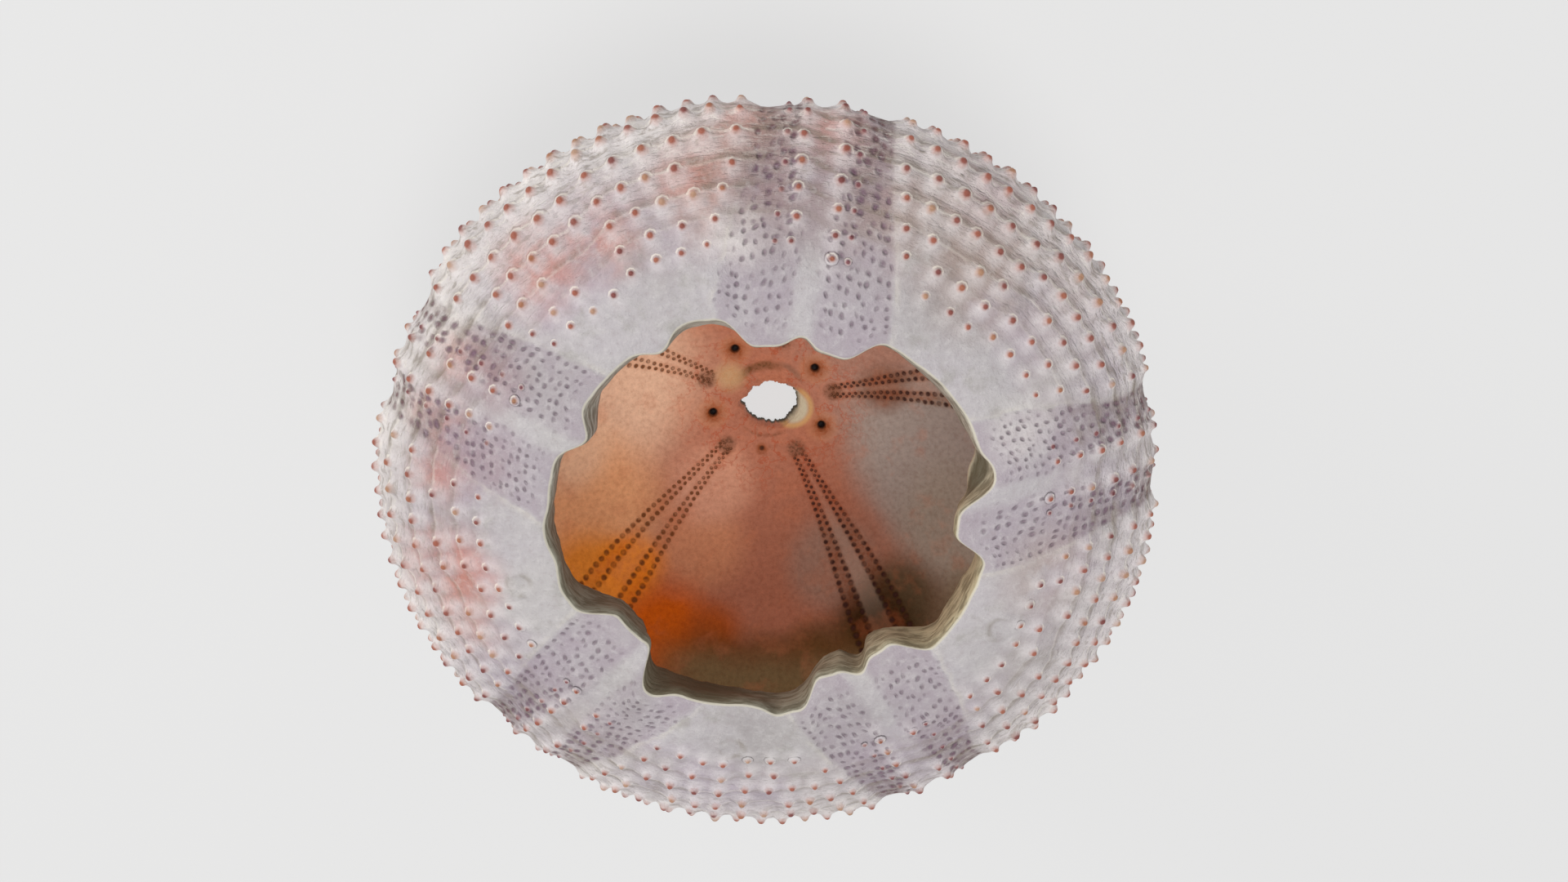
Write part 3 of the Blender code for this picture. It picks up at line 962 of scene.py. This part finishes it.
# Fields of tone on the lining, partly its own colour, partly painted glow of light through the thin wall and
# painted shade deep under the lip: middle, full reach, end of the fade, tone
LINING_FIELDS = (
    ((-16.0, 4.0, 5.0), 2.0, 17.0, (0.63, 0.40, 0.27, 1.0)),
    ((-17.0, -8.0, 8.0), 1.0, 12.0, (0.68, 0.34, 0.165, 1.0)),
    ((-19.0, -2.0, 7.0), 0.0, 7.0, (0.70, 0.44, 0.28, 1.0)),
    ((-7.5, -13.0, 6.0), 1.0, 8.0, (0.50, 0.21, 0.11, 1.0)),
    ((-6.0, -8.0, 3.0), 1.0, 7.0, (0.52, 0.25, 0.16, 1.0)),
    ((-18.0, -15.0, 10.0), 1.5, 9.0, (0.66, 0.23, 0.03, 1.0)),
    ((-14.0, -14.0, 8.5), 0.0, 6.0, (0.80, 0.25, 0.018, 1.0)),
    ((-11.0, -20.0, 10.6), 1.0, 8.0, (0.54, 0.10, 0.003, 1.0)),
    ((-6.5, -20.5, 10.0), 0.0, 5.5, (0.36, 0.075, 0.01, 1.0)),
    ((6.0, -16.0, 6.0), 1.0, 8.0, (0.32, 0.18, 0.13, 1.0)),
    ((17.0, -5.0, 6.0), 4.0, 13.0, (0.33, 0.275, 0.24, 1.0)),
    ((18.0, -11.0, 8.5), 1.0, 11.0, (0.33, 0.275, 0.22, 1.0)),
    ((19.0, -19.0, 12.5), 1.0, 8.0, (0.20, 0.15, 0.09, 1.0)),
    ((11.0, 1.5, 4.0), 0.0, 4.5, (0.20, 0.10, 0.065, 1.0)),
    ((12.0, -19.0, 9.5), 1.0, 8.0, (0.10, 0.066, 0.034, 1.0)),
    ((9.5, -21.5, 10.5), 1.0, 8.0, (0.045, 0.025, 0.007, 1.0)),
    ((4.0, -24.0, 10.5), 0.0, 6.0, (0.11, 0.058, 0.022, 1.0)),
)


def lay_washes(paint, share):
    """Lays soft patches of other tones on the plates."""
    for azimuth, travel, reach, strength, tone in WASHES:
        paint.lay(paint.near(place_mm(azimuth, travel), 0.0, reach) * share * strength, tone)


def lay_outside(paint):
    """Lays the colour of the outside, for wall and tubercles alike, and gives its fine relief."""
    _radius, across = sector_measures(paint)
    travel, plate, pore_row = paint.note("travel"), paint.note("plate"), paint.note("pore_row")
    strip, white = paint.note("strip"), paint.note("white")
    wobble = paint.noise(0.55, 2.0) - 0.5
    drift = paint.noise(0.5, 2.0) - 0.5
    side = abs(across + wobble * 0.6)
    past_strip = side - strip + wobble * 0.6
    inside_strip = paint.fade(past_strip, -0.45, 0.1)
    on_plates = 1.0 - inside_strip
    phase = (plate + drift * 0.25) % 1.0
    far = paint.soft_step(travel, 3.5, 9.5)
    limb = paint.soft_step(travel, 8.0, 14.5)
    patchy = paint.soft_step(paint.noise(0.28, 3.0, 0.6), 0.34, 0.58)
    blotchy = paint.soft_step(paint.noise(0.42, 3.0, 0.6), 0.34, 0.6)

    cloud = paint.noise(0.11, 3.0)
    paint.colour = paint.mix(paint.soft_step(cloud, 0.35, 0.65), LILAC, LILAC_WHITE)
    paint.lay(paint.soft_step(paint.noise(0.6, 4.0, 0.6), 0.45, 0.75) * 0.35, (0.66, 0.62, 0.61, 1.0))
    collar = paint.fade(travel + wobble * 3.0, 2.5, 5.5)
    paint.lay(collar * 0.6, (0.555, 0.54, 0.535, 1.0))
    # Painted light: the plates are painted paler towards the widest ring, as if lit from the sides at the
    # outline.
    paint.lay(limb * 0.45, (0.72, 0.66, 0.62, 1.0))
    pored = inside_strip * paint.soft_step(side - strip * (far * 0.14 + 0.1), -0.3, 0.7)
    tinted = pored * (paint.soft_step(drift, -0.25, 0.2) * 0.35 + 0.35 + far * 0.15)
    paint.lay(tinted, (0.39, 0.32, 0.375, 1.0))
    paint.lay(pored * paint.soft_step(travel, 3.0, 10.0) * blotchy * 0.4, (0.26, 0.18, 0.20, 1.0))
    paint.lay(pored * limb * (blotchy * 0.3 + 0.2), (0.20, 0.12, 0.10, 1.0))
    lay_washes(paint, patchy * 0.7 + 0.3)

    crown_side = paint.soft_step(phase, 0.55, 0.64) * paint.fade(phase, 0.66, 1.05)
    # Painted shade: the plates are darkened olive grey away from the bosses, in the valleys between the
    # rows.
    valley = paint.fade(white, 0.03, 0.4) * paint.soft_step(travel, 4.0, 9.0)
    paint.lay(valley * blotchy * 0.25, (0.38, 0.33, 0.29, 1.0))
    shade = crown_side * paint.fade(white, 0.2, 0.6) * far * (blotchy * 0.5 + 0.15)
    paint.lay(shade, (0.25, 0.20, 0.15, 1.0))
    # The bosses' white is partly their paler colour and partly painted light: strongest on the mouth side of
    # each boss, weaker on its crown side.
    boss = paint.soft_step(white, 0.1, 0.75) * (1.0 - crown_side * 0.5)
    rosy = paint.mix(0.4, (0.86, 0.81, 0.81, 1.0), paint.colour)
    paint.lay(boss * 0.8, rosy)
    # Painted highlight: a thin cream line along the crest of each row's terrace, where the raised edge
    # catches the light.
    ledge = paint.fade(abs(phase - 0.57), 0.0, 0.1) * far * on_plates
    paint.lay(ledge * (1.0 - blotchy * 0.6) * (limb * 0.3 + 0.4), (0.88, 0.82, 0.73, 1.0))

    warp = paint.noise(1.1, 2.0) - 0.5
    sideways = (across + wobble * 0.4 + warp * 0.4) / (far * 0.12 + 0.76)
    cells = {0: sideways, 1: pore_row + side * 0.2 + drift * 0.4 - warp * 0.3}
    settings = {"voronoi_dimensions": "2D", "feature": "F1"}
    inputs = {"Vector": paint.node("ShaderNodeCombineXYZ", inputs=cells), "Scale": 1.0, "Randomness": 0.55}
    away = paint.node("ShaderNodeTexVoronoi", settings, inputs, output="Distance")
    kind = paint.node("ShaderNodeTexVoronoi", settings, inputs, output="Color")
    strength = paint.soft_step(kind, 0.1, 0.6) * 0.45 + 0.5
    dots = paint.fade(away - kind * 0.08 - far * 0.1, -0.06, 0.29) * strength * pored
    dots = dots * paint.soft_step(travel, -0.2, 0.6)
    pore = paint.mix(limb, (0.17, 0.085, 0.14, 1.0), (0.12, 0.025, 0.03, 1.0))
    paint.lay(dots * (far * 0.3 + 0.6), pore)
    seam = paint.soft_step(past_strip, -0.1, 0.1) * paint.fade(past_strip, 0.1, 0.6)
    paint.lay(seam * (1.0 - far) * blotchy * 0.3, (0.74, 0.69, 0.60, 1.0))

    for azimuth, down, reach in RING_SCARS:
        centre = place_mm(azimuth, down)
        ring = paint.near(centre, reach * 0.9, reach * 1.35)
        ring = ring * (1.0 - paint.near(centre, reach * 0.55, reach * 0.9))
        paint.lay(ring * paint.soft_step(wobble, -0.12, 0.1) * 0.55, (0.30, 0.26, 0.22, 1.0))

    smudge = paint.soft_step(paint.noise(0.45, 4.0, 0.65), 0.52, 0.72) * on_plates
    paint.lay(smudge * (1.0 - far) * 0.5, (0.36, 0.34, 0.31, 1.0))
    suture = paint.fade(paint.maths("MINIMUM", phase, 1.0 - phase), 0.0, 0.07)
    suture = suture * on_plates * paint.soft_step(travel, 4.0, 7.0)

    lie = paint.node("ShaderNodeCombineXYZ", inputs={0: paint.x * 0.7, 1: paint.y * 0.7, 2: travel * 2.4})
    wrinkle = paint.noise(1.0, 4.0, 0.65, lie)
    grit = paint.noise(1.4, 5.0, 0.7)
    height = wrinkle * (far * 1.4 + 0.3) + grit * 0.8 + paint.noise(5.0, 2.0) * 0.15
    height = height - dots * 0.8 - suture * 0.15
    lines = paint.soft_step(wrinkle, 0.52, 0.66) * (far * 0.25 + limb * 0.35)
    paint.lay(lines, (0.26, 0.21, 0.16, 1.0))
    pale_lines = paint.fade(wrinkle, 0.36, 0.47) * limb
    paint.lay(pale_lines * 0.5, (0.88, 0.83, 0.76, 1.0))
    paint.lay(paint.soft_step(grit, 0.48, 0.68) * 0.25, (0.76, 0.73, 0.72, 1.0))
    paint.lay(paint.fade(grit, 0.34, 0.47) * 0.22, (0.36, 0.29, 0.30, 1.0))
    return height


def plates_paint():
    """Outside of the wall, down to the pale line along the lip's crest."""
    paint = Paint("plates_lilac_white", 0.62)
    height = lay_outside(paint)
    crest = paint.fade(paint.note("travel"), -0.78, -0.66)
    paint.lay(crest * 0.8, CREST_CREAM)
    return paint.finish(height, 0.3)


def tubercle_paint():
    """White bosses with red to orange knobs; the white is partly painted light, and each boss has a painted
    shadow line and a painted highlight round its upper side.
    """
    paint = Paint("tubercle_white_and_red", 0.5)
    away, size = paint.note("away"), paint.note("size")
    tint, dusk = paint.note("tint"), paint.note("dark")
    height = lay_outside(paint)
    above = paint.soft_step(paint.note("plate") % 1.0, 0.49, 0.62)
    blotch = paint.noise(1.8, 2.0) - 0.5
    # Painted shadow: a thin dark arc round the upper, crown side of each boss.
    arc = paint.fade(abs(away - 0.74 + blotch * 0.15), 0.0, 0.16)
    paint.lay(arc * above * (tint * 0.4 + 0.2) * size, (0.22, 0.17, 0.12, 1.0))
    # Painted highlight: a cream arc on the crown side, just above the knob.
    light = paint.fade(abs(away - 0.5 + blotch * 0.1), 0.02, 0.16)
    paint.lay(light * above * 0.65, (0.90, 0.84, 0.74, 1.0))
    red = paint.mix(paint.soft_step(tint, 0.0, 0.5), (0.19, 0.03, 0.025, 1.0), (0.36, 0.09, 0.045, 1.0))
    red = paint.mix(paint.soft_step(tint, 0.6, 0.95), red, (0.40, 0.19, 0.07, 1.0))
    red = paint.mix(dusk * 0.8, red, (0.19, 0.05, 0.07, 1.0))
    halo = paint.mix(0.5, red, (0.78, 0.50, 0.44, 1.0))
    around = paint.fade(away + blotch * 0.3, 0.22, 0.56)
    paint.lay(around * (0.6 - above * 0.3), halo)
    core = paint.fade(away + blotch * 0.2, 0.16, 0.34)
    paint.lay(core * (0.9 - paint.soft_step(tint, 0.75, 1.0) * 0.35), red)
    return paint.finish(height, 0.2)


def crown_spots(paint, places, inner, outer):
    """1 at each of these places round the crown."""
    spots = 0.0
    for place in places:
        spots = paint.maths("MAXIMUM", spots, paint.near_axis(*place, inner, outer))
    return spots


def lining_paint():
    """Inside of the wall: warm leathery lining with its pore lines and the crown's pores."""
    paint = Paint("lining_peach_and_mauve", 0.6, gloss=0.2)
    radius, across = sector_measures(paint)
    travel = paint.note("inward")
    leather = paint.noise(2.2, 3.0, 0.6)
    cloud = paint.noise(0.16, 3.0) - 0.5
    rightward = paint.soft_step(paint.x * 0.9 + paint.y * 0.44 + cloud * 4.0, 2.0, 10.0)
    rightward = rightward * (1.0 - paint.soft_step(paint.y, -3.0, 4.0) * 0.6)
    paint.colour = paint.mix(rightward, SALMON, MAUVE)
    # Lays the fields of tone, among them painted light through the wall and painted shade under the lip.
    for centre, inner, outer, tone in LINING_FIELDS:
        share = paint.near(centre, inner, outer)
        paint.lay(paint.soft_step(share + cloud * 0.4, 0.1, 0.9), tone)
    # Painted shade: the lining is darkened brown deep under the lip, where little light reaches.
    under_lip = paint.near((-1.0, -26.0, 13.5), 6.0, 15.0)
    depth = paint.z + cloud * 3.0
    paint.lay(under_lip * paint.soft_step(depth, 8.2, 10.8) * 0.85, (0.12, 0.052, 0.014, 1.0))
    paint.lay(under_lip * paint.soft_step(depth, 10.0, 12.5), (0.165, 0.115, 0.052, 1.0))
    mottle = paint.soft_step(paint.noise(0.32, 3.0, 0.6), 0.5, 0.68)
    paint.lay(mottle * 0.25, (0.46, 0.15, 0.07, 1.0))
    paint.lay(paint.soft_step(leather, 0.45, 0.7), (1.12, 1.12, 1.12, 1.0), "MULTIPLY")
    paint.lay(paint.fade(leather, 0.3, 0.5), (0.9, 0.86, 0.84, 1.0), "MULTIPLY")

    far = paint.soft_step(travel, 1.0, 24.0)
    bent = across + (paint.noise(1.1, 1.0) - 0.5) * 0.22
    pitch = travel * 0.011 + 0.56
    row = travel / (travel * 0.0052 + 0.56)
    inner = far * 0.95 + 0.3
    gap = far * 1.25 + 0.2
    size = far * 0.18 + 0.14
    dots = dot_rows(paint, bent, row, pitch, ((inner, 0.0), (inner + gap, 0.5)), size)
    start = paint.soft_step(travel, 2.6, 3.4)
    uneven = paint.soft_step(paint.noise(1.3, 1.0), 0.3, 0.6) * 0.55 + 0.45
    from_column = abs(abs(bent) - inner - gap * 0.5) - gap * 0.5
    strip = paint.fade(from_column, 0.05, 0.5) * start
    freckle = paint.soft_step(paint.noise(2.6, 2.0), 0.45, 0.65)
    right = paint.soft_step(paint.x, -9.0, 3.0)
    stained = strip * (freckle * 0.35 + 0.6) * (right * 0.5 + 0.5)
    paint.lay(stained, (0.78, 0.54, 0.40, 1.0), "MULTIPLY")
    streak = paint.fade(abs(bent) - inner, -0.5, 0.1) * far * (1.2 - paint.soft_step(paint.z, 7.5, 10.5))
    paint.lay(streak * (right * 0.2 + 0.08), (0.50, 0.38, 0.30, 1.0))
    pit = paint.mix(right, (0.15, 0.045, 0.01, 1.0), (0.04, 0.014, 0.011, 1.0))
    paint.lay(dots * start * uneven * 0.95, pit)

    round_crown = paint.fade(radius, 5.0, 12.0)
    vein = paint.fade(abs(paint.noise(0.36, 5.0, 0.6) - 0.5), 0.0, 0.025)
    paint.lay(vein * round_crown * 0.7, (0.36, 0.07, 0.025, 1.0))
    # Painted shade: dark brown along the groove beside the vent.
    groove = paint.fade(abs(radius - 3.75 + cloud), 0.1, 0.75) * paint.near_axis(104.0, 3.6, 1.0, 3.0)
    paint.lay(groove * (freckle * 0.3 + 0.65), (0.12, 0.045, 0.012, 1.0))
    stain = paint.near_axis(143.0, 4.6, 0.4, 2.2)
    paint.lay(stain * 0.55, (0.54, 0.38, 0.18, 1.0))
    fold = paint.fade(abs(radius - 3.9 - cloud), 0.05, 0.45) * paint.near_axis(52.0, 4.0, 0.6, 2.0)
    paint.lay(fold * 0.5, (0.16, 0.085, 0.05, 1.0))
    crease = paint.fade(abs(radius - 3.7 + cloud), 0.0, 0.3) * paint.near_axis(262.0, 3.9, 1.0, 3.2)
    paint.lay(crease * (freckle * 0.4 + 0.25), (0.15, 0.05, 0.02, 1.0))

    holes = crown_spots(paint, GONOPORES, 0.26, 0.52)
    halos = crown_spots(paint, GONOPORES, 0.4, 1.5)
    rings = crown_spots(paint, GONOPORES, 1.1, 2.0)
    holes = paint.maths("MAXIMUM", holes, paint.near_axis(*FIFTH_GONOPORE, 0.05, 0.35) * 0.85)
    halos = paint.maths("MAXIMUM", halos, paint.near_axis(*FIFTH_GONOPORE, 0.25, 0.9) * 0.9)
    paint.lay(rings * 0.3, (0.50, 0.22, 0.10, 1.0))
    paint.lay(halos * (freckle * 0.3 + 0.6), (0.24, 0.06, 0.015, 1.0))
    # Painted shade: each pore's shallow pit is painted near black, for the shade inside the open pore.
    paint.lay(holes, (0.004, 0.002, 0.002, 1.0))
    tips = crown_spots(paint, OCULAR_TIPS, 0.5, 1.2)
    speckle = paint.soft_step(paint.noise(3.4, 2.0), 0.45, 0.6)
    paint.lay(tips * (speckle * 0.4 + 0.5), (0.12, 0.045, 0.02, 1.0))

    ledge = paint.near_axis(-20.0, 2.3, 1.4, 1.9)
    border = paint.near_axis(-20.0, 2.3, 1.9, 2.4) * (1.0 - ledge)
    border = border * paint.soft_step(paint.x - paint.y * 0.6, 1.5, 3.0)
    paint.lay(border * 0.6, (0.58, 0.38, 0.14, 1.0))
    paint.lay(ledge * 0.85, (0.50, 0.48, 0.34, 1.0))
    # Painted shade: the lowest part of the vent's wall, by the floor, is painted near black where the shell
    # shades it.
    rim = paint.fade(paint.z, 0.3, 0.9)
    paint.lay(rim, (0.05, 0.04, 0.025, 1.0))
    height = leather * 0.7 + paint.noise(0.9, 3.0) * 0.5 - dots * start * 0.9 - holes
    return paint.finish(height, 0.3, LINING_GLOW)


def lip_paint():
    """The broken edge of the mouth: olive beige, streaked along its length, pale at its edges."""
    paint = Paint("lip_olive_beige", 0.6)
    rise = paint.note("rise")
    lie = paint.node("ShaderNodeCombineXYZ", inputs={0: paint.x * 0.6, 1: paint.y * 0.6, 2: paint.z * 2.4})
    streaks = paint.noise(1.0, 4.0, 0.65, lie)
    right = paint.soft_step(paint.x + paint.y * 0.3, -6.0, 12.0)
    paint.colour = paint.mix(right, OLIVE, BEIGE)
    top = paint.soft_step(paint.y, -2.0, 9.0)
    paint.lay(top * 0.8, (0.56, 0.54, 0.48, 1.0))
    # Painted shade: the hollow of the flap beside the first tongue is darkened.
    hollow = paint.near_axis(12.0, 15.4, 1.4, 3.2) * paint.soft_step(rise, 0.15, 0.7)
    hollow = hollow * paint.fade(rise, 1.5, 1.9)
    paint.lay(hollow * 0.85, (0.10, 0.085, 0.05, 1.0))
    # Painted shade: the near part of the lip, at negative x and y, is darkened olive where it faces away
    # from the light.
    paint.lay(paint.near((-8.0, -15.5, 28.0), 2.0, 9.0) * 0.75, (0.17, 0.14, 0.085, 1.0))
    paint.lay(paint.near((-6.5, -17.0, 28.0), 1.0, 5.5) * 0.6, (0.075, 0.055, 0.025, 1.0))
    pale = paint.soft_step(streaks, 0.38, 0.6) * 0.65 + 0.35
    paint.colour = paint.mix(pale, (0.11, 0.09, 0.05, 1.0), paint.colour)
    shade = paint.fade(rise, 0.1, 1.2)
    paint.lay(shade * 0.2, (0.12, 0.10, 0.055, 1.0))
    foot = paint.fade(rise, 0.04, 0.16)
    paint.lay(foot * 0.55, (0.62, 0.55, 0.38, 1.0))
    flap_edge = paint.near_axis(12.0, 15.0, 1.5, 3.6) * paint.fade(rise, 0.2, 0.5)
    paint.lay(flap_edge * 0.8, (0.70, 0.64, 0.47, 1.0))
    crest = paint.soft_step(rise, LIP_RISE, LIP_RISE + 0.15)
    paint.lay(crest * 0.8, CREST_CREAM)
    return paint.finish(streaks, 0.2)


def add_piece(name, mesh, *materials):
    piece = bpy.data.objects.new(name, mesh)
    bpy.context.scene.collection.objects.link(piece)
    for material in materials:
        mesh.materials.append(material)
    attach(piece, "root")
    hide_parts("urchin_shell")
    return piece


def add_floor():
    bm = bmesh.new()
    bmesh.ops.create_grid(bm, x_segments=1, y_segments=1, size=3.0)
    mesh = mesh_from(bm, "floor")
    material = bpy.data.materials.new("pale_floor")
    material.use_nodes = True
    shader = material.node_tree.nodes["Principled BSDF"]
    shader.inputs["Base Color"].default_value = (0.2, 0.2, 0.2, 1.0)
    shader.inputs["Roughness"].default_value = 0.9
    shader.inputs["Emission Color"].default_value = (1.0, 1.0, 1.0, 1.0)
    shader.inputs["Emission Strength"].default_value = FLOOR_GLOW
    mesh.materials.append(material)
    floor = bpy.data.objects.new("floor", mesh)
    bpy.context.scene.collection.objects.link(floor)


def view_axes():
    """The camera's right, up and back directions."""
    tilt, roll = math.radians(TILT), math.radians(ROLL)
    top = Vector((math.sin(tilt) * math.sin(roll), -math.sin(tilt) * math.cos(roll), math.cos(tilt)))
    upright = Vector((-math.sin(roll), math.cos(roll), 0.0))
    second = (upright - top * upright.dot(top)).normalized()
    first = second.cross(top)
    return [Vector((first[axis], second[axis], top[axis])) for axis in range(3)]


def add_camera():
    right, up, back = view_axes()
    focus = PICTURE_HEIGHT / 2.0 / math.tan(math.radians(VERTICAL_FIELD / 2.0))
    aside = -(CENTRE_PIXEL[0] - PICTURE_WIDTH / 2.0) / focus * DISTANCE
    above = (CENTRE_PIXEL[1] - PICTURE_HEIGHT / 2.0) / focus * DISTANCE
    place = Vector((0.0, 0.0, WAIST)) + right * aside + up * above + back * DISTANCE
    data = bpy.data.cameras.new("camera")
    data.sensor_width = 36.0
    data.lens = focus / PICTURE_WIDTH * data.sensor_width
    data.clip_start = 0.005
    data.clip_end = 20.0
    camera = bpy.data.objects.new("camera", data)
    camera.matrix_world = Matrix.Translation(place * MM) @ Matrix((right, up, back)).transposed().to_4x4()
    bpy.context.scene.collection.objects.link(camera)
    bpy.context.scene.camera = camera
    return right, up, back


def add_light(name, direction, distance, size, power, colour):
    data = bpy.data.lights.new(name, "AREA")
    data.shape = "DISK"
    data.size = size
    data.energy = power
    data.color = colour
    light = bpy.data.objects.new(name, data)
    centre = Vector((0.0, 0.0, WAIST * MM))
    light.matrix_world = Matrix.Translation(centre + direction * distance) @ direction.to_track_quat(
        "Z", "Y"
    ).to_matrix().to_4x4()
    bpy.context.scene.collection.objects.link(light)


def add_lights(right, up, back):
    world = bpy.data.worlds.new("studio")
    world.use_nodes = True
    background = world.node_tree.nodes["Background"]
    background.inputs["Color"].default_value = (1.0, 1.0, 1.0, 1.0)
    background.inputs["Strength"].default_value = ROOM_LIGHT
    bpy.context.scene.world = world
    front = (back - up * 0.6 + right * 0.1).normalized()
    left = Vector((-0.8, 0.55, 0.2)).normalized()
    add_light("key", front, distance=0.5, size=0.25, power=1.2, colour=(1.0, 0.99, 0.98))
    add_light("side", left, distance=0.4, size=0.15, power=0.6, colour=(1.0, 0.98, 0.95))
    bpy.context.scene.view_settings.view_transform = "Standard"


def main():
    right, up, back = add_camera()
    add_lights(right, up, back)
    add_floor()
    relief, white = outside_relief(np.array([ring[2] for ring in RINGS if ring[3] == "outside"]))
    wall = wall_body()
    shape_wall(wall, relief, white)
    add_piece("shell_wall", wall, plates_paint(), lining_paint(), lip_paint())
    add_piece("tubercles", tubercle_field(relief), tubercle_paint())


main()
